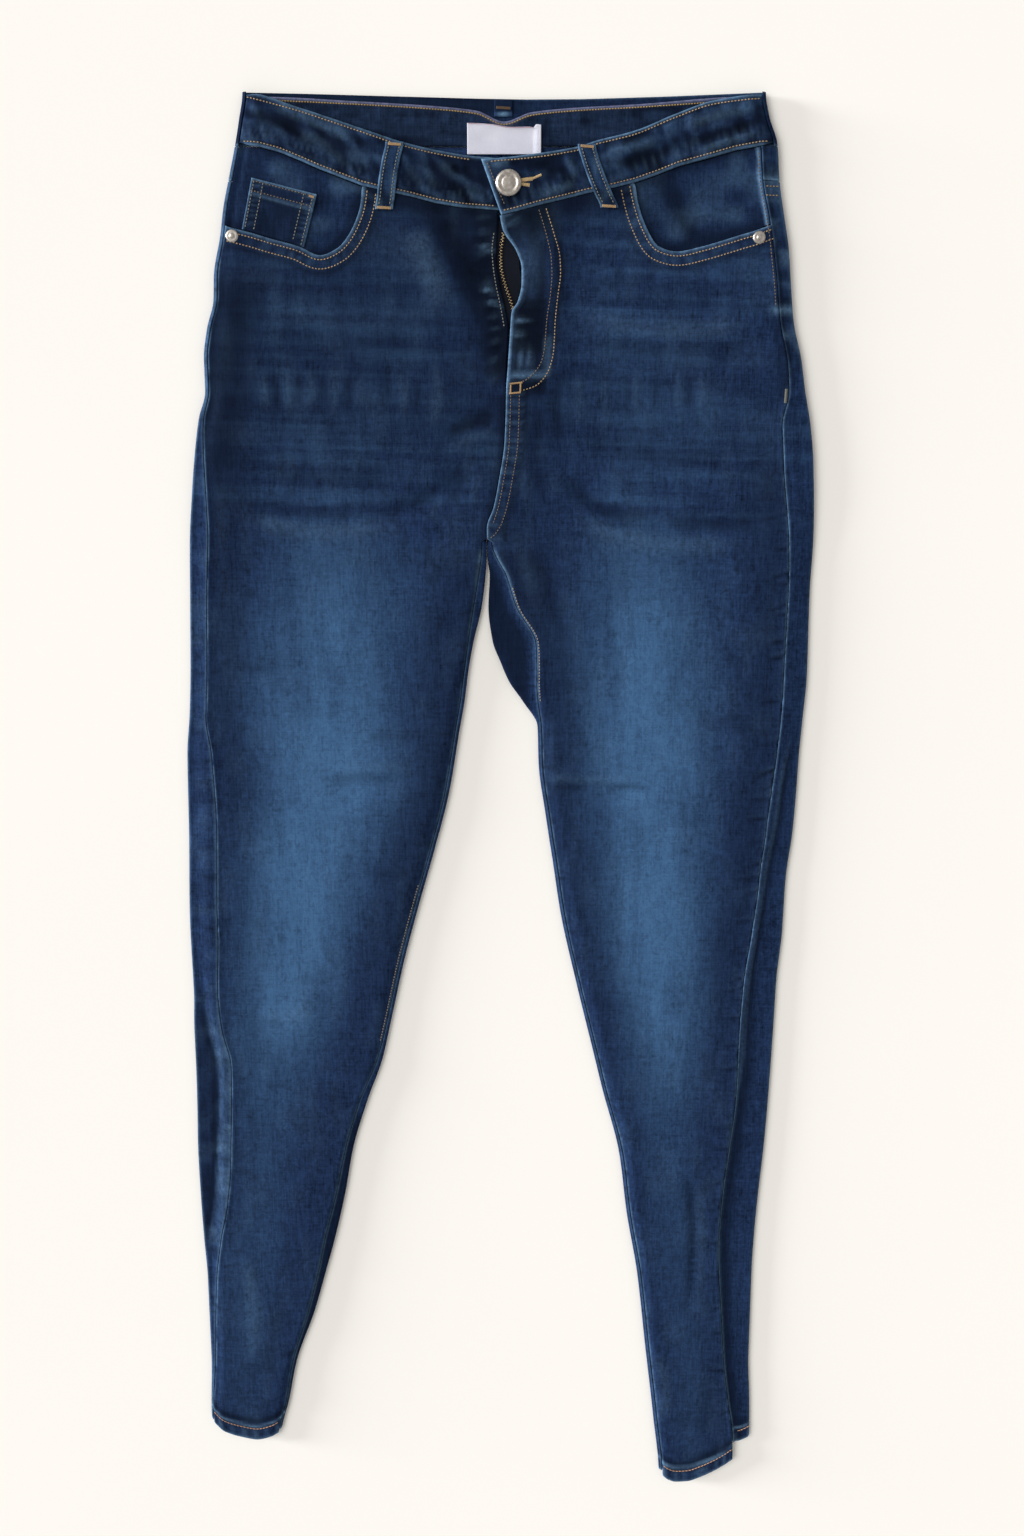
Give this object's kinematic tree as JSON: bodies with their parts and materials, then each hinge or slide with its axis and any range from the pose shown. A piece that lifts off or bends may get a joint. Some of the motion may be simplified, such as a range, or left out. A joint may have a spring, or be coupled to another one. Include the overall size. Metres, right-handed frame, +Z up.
{
  "type": "slim fit jeans",
  "caption": "Slim fit denim jeans laid flat on their back, front up, with a closed zip fly, waist button, belt loops, scoop front pockets and turned-up hems.",
  "frame": {"origin": "bottom centre of the bounding box, on the surface that the jeans lie on", "axes": "+Y from the hems to the waistband, +X to the right as the front is seen, +Z up, out of the front"},
  "size_m": [0.4699, 1.0859, 0.0128],
  "materials": {
    "denim": "indigo twill, faded on the thighs, with tan topstitching",
    "denim_inside": "inside face of indigo twill",
    "cotton": "plain unbleached cotton",
    "brass": "dull brass",
    "pewter": "brushed, slightly dull",
    "label_cloth": "smooth woven white, bare"
  },
  "bodies": {
    "root": {"front_left": "denim", "front_right": "denim", "back_left": "denim", "back_right": "denim", "yoke_left": "denim", "yoke_right": "denim", "waistband_front_left": "denim", "waistband_front_right": "denim", "waistband_back": "denim", "belt_loop_front_left": "denim", "belt_loop_front_right": "denim", "belt_loop_back_left": "denim", "belt_loop_back_centre": "denim", "belt_loop_back_right": "denim", "pocket_facing_left": "denim", "pocket_facing_right": "denim", "coin_pocket": "denim", "back_pocket_left": "denim", "back_pocket_right": "denim", "fly_facing": "denim", "fly_shield": "denim", "waistband_facing": "denim_inside", "pocket_bag_left": "cotton", "pocket_bag_right": "cotton", "zip_tape": "cotton", "zip_teeth": "brass", "zip_slider": "pewter", "zip_pull": "pewter", "button": "pewter", "rivet_left": "pewter", "rivet_right": "pewter", "label": "label_cloth"}
  },
  "joints": []
}
